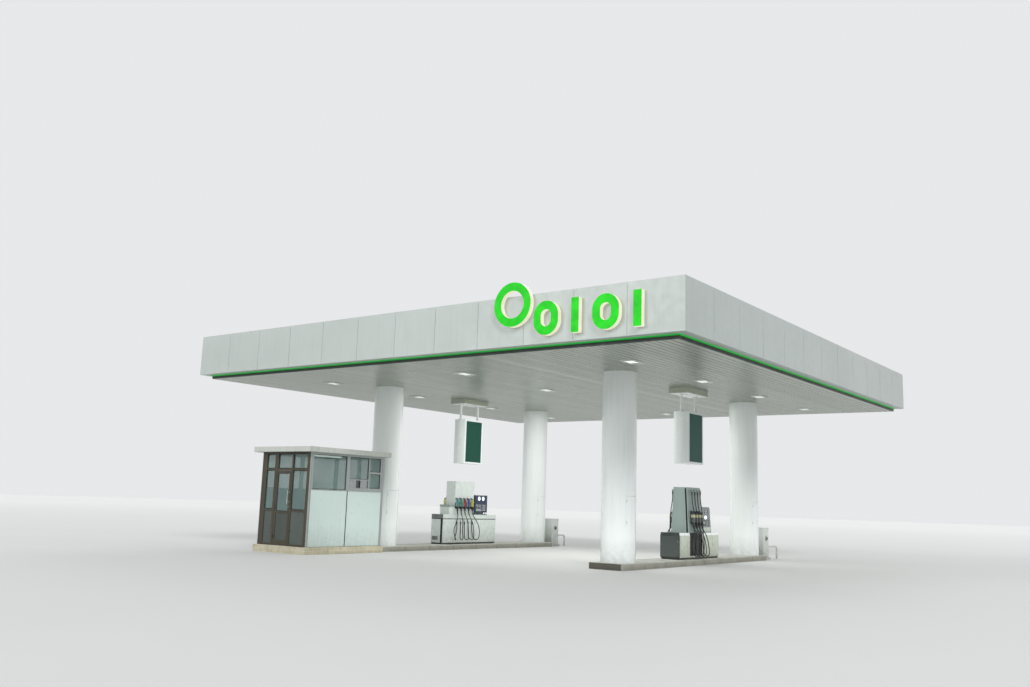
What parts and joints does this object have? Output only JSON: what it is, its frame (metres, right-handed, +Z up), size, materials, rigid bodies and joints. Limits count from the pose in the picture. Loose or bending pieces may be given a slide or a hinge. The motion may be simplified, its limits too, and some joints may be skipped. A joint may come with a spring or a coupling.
{
  "type": "filling station canopy",
  "caption": "Square flat canopy on round columns over two fuel islands, with dispensers, hanging light boxes and a glazed cashier's kiosk.",
  "frame": {"origin": "ground level under the middle of the roof", "axes": "+Z up, +X towards the right end of the sign face, +Y towards the back of the canopy"},
  "size_m": [15.6, 15.72, 6.31],
  "materials": {
    "fascia": "satin",
    "band": "satin",
    "light_strip": "lit",
    "ceiling": "satin",
    "lamp_frame": "satin",
    "lamp_lens": "lit",
    "roof_sheet": "matt",
    "frame_steel": "matt",
    "cladding": "gloss",
    "island_concrete": "rough",
    "sign_white": "gloss",
    "sign_green": "gloss",
    "emblem_green": "lit",
    "pump_white": "gloss",
    "pump_navy": "gloss",
    "pump_silver": "satin",
    "pump_dark": "satin",
    "nozzle_black": "matt",
    "hose_rubber": "matt",
    "box_white": "satin",
    "plinth_tile": "matt",
    "frame_bronze": "satin",
    "frame_silver": "satin",
    "kiosk_panel": "gloss",
    "kiosk_glass": "clear",
    "kiosk_roof": "matt",
    "handle_steel": "satin"
  },
  "bodies": {
    "station": {"fascia_front": "fascia", "fascia_right": "fascia", "fascia_back": "fascia", "fascia_left": "fascia", "edge_bands": "band", "light_strips": "light_strip", "ceiling_left": "ceiling", "ceiling_middle": "ceiling", "ceiling_right": "ceiling", "lamp_frames": "lamp_frame", "lamp_lenses": "lamp_lens", "roof_sheet": "roof_sheet", "main_beams": "frame_steel", "cross_beams": "frame_steel", "ceiling_rails": "frame_steel", "column_posts": "frame_steel", "column_front_left": "cladding", "column_front_right": "cladding", "column_back_left": "cladding", "column_back_right": "cladding", "column_hatches": "cladding", "island_left": "island_concrete", "island_right": "island_concrete", "sign_mount_left": "sign_white", "sign_mount_right": "sign_white", "sign_box_left": "sign_white", "sign_box_right": "sign_white", "sign_faces": "sign_green", "fascia_sign": "emblem_green", "pump_base_left": "pump_white", "pump_tower_left": "pump_white", "pump_display_left": "pump_navy", "pump_nozzles_left": "nozzle_black", "pump_hoses_left": "hose_rubber", "pump_base_right": "pump_silver", "pump_tower_right": "pump_silver", "pump_display_right": "pump_dark", "pump_nozzles_right": "nozzle_black", "pump_hoses_right": "hose_rubber", "service_boxes": "box_white", "guard_hoops": "box_white", "kiosk_plinth": "plinth_tile", "kiosk_front_left": "frame_bronze", "kiosk_front_right": "frame_bronze", "kiosk_front_head": "frame_bronze", "kiosk_wall_right": "frame_silver", "kiosk_wall_back": "frame_silver", "kiosk_wall_left": "frame_silver", "kiosk_panels": "kiosk_panel", "kiosk_glass": "kiosk_glass", "kiosk_roof": "kiosk_roof", "kiosk_lamp": "lamp_lens"},
    "kiosk_door": {"door_leaf": "frame_bronze", "door_glass": "kiosk_glass", "door_handle": "handle_steel"}
  },
  "joints": [
    {"name": "door_hinge", "type": "hinge", "parent": "station", "child": "kiosk_door", "pos_m": [-4.677, -7.29, 1.2], "axis": [0, 0, -1], "range_deg": [0, 95]}
  ]
}
